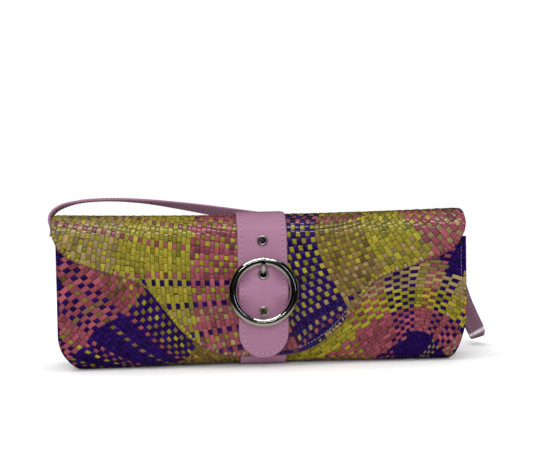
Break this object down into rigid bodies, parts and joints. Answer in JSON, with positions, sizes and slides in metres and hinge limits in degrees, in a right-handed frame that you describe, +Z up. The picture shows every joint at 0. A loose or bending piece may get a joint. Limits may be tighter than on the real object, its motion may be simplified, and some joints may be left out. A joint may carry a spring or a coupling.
{
  "type": "shoulder bag",
  "caption": "Long low woven abaca shoulder bag with a curved front flap, leather closure strap, round ring buckle and flat leather shoulder strap.",
  "frame": {"origin": "middle of the base, on the under side of the base strap, which lies on the table", "axes": "+X to the bag's right end seen from the front, -Y out of the front with the buckle, +Z up"},
  "size_m": [0.378, 0.1153, 0.1367],
  "materials": {
    "body_weave": "glossy dyed abaca strips, purple with pink, yellow and tan",
    "gusset_weave": "glossy dyed abaca strips",
    "flap_weave": "glossy dyed abaca strips, tan, yellow, pink and purple",
    "lining": "plain mauve facing",
    "leather": "smooth satin pink leather with stitched edges",
    "metal": "polished"
  },
  "bodies": {
    "root": {"body_wrap": "body_weave", "gusset_left": "gusset_weave", "gusset_right": "gusset_weave", "flap": "flap_weave", "flap_lining": "lining", "closure_strap": "leather", "base_strap": "leather", "shoulder_strap": "leather", "eyelet_upper": "metal", "eyelet_prong": "metal", "eyelet_lower": "metal", "buckle_ring": "metal", "buckle_prong": "metal"}
  },
  "joints": []
}
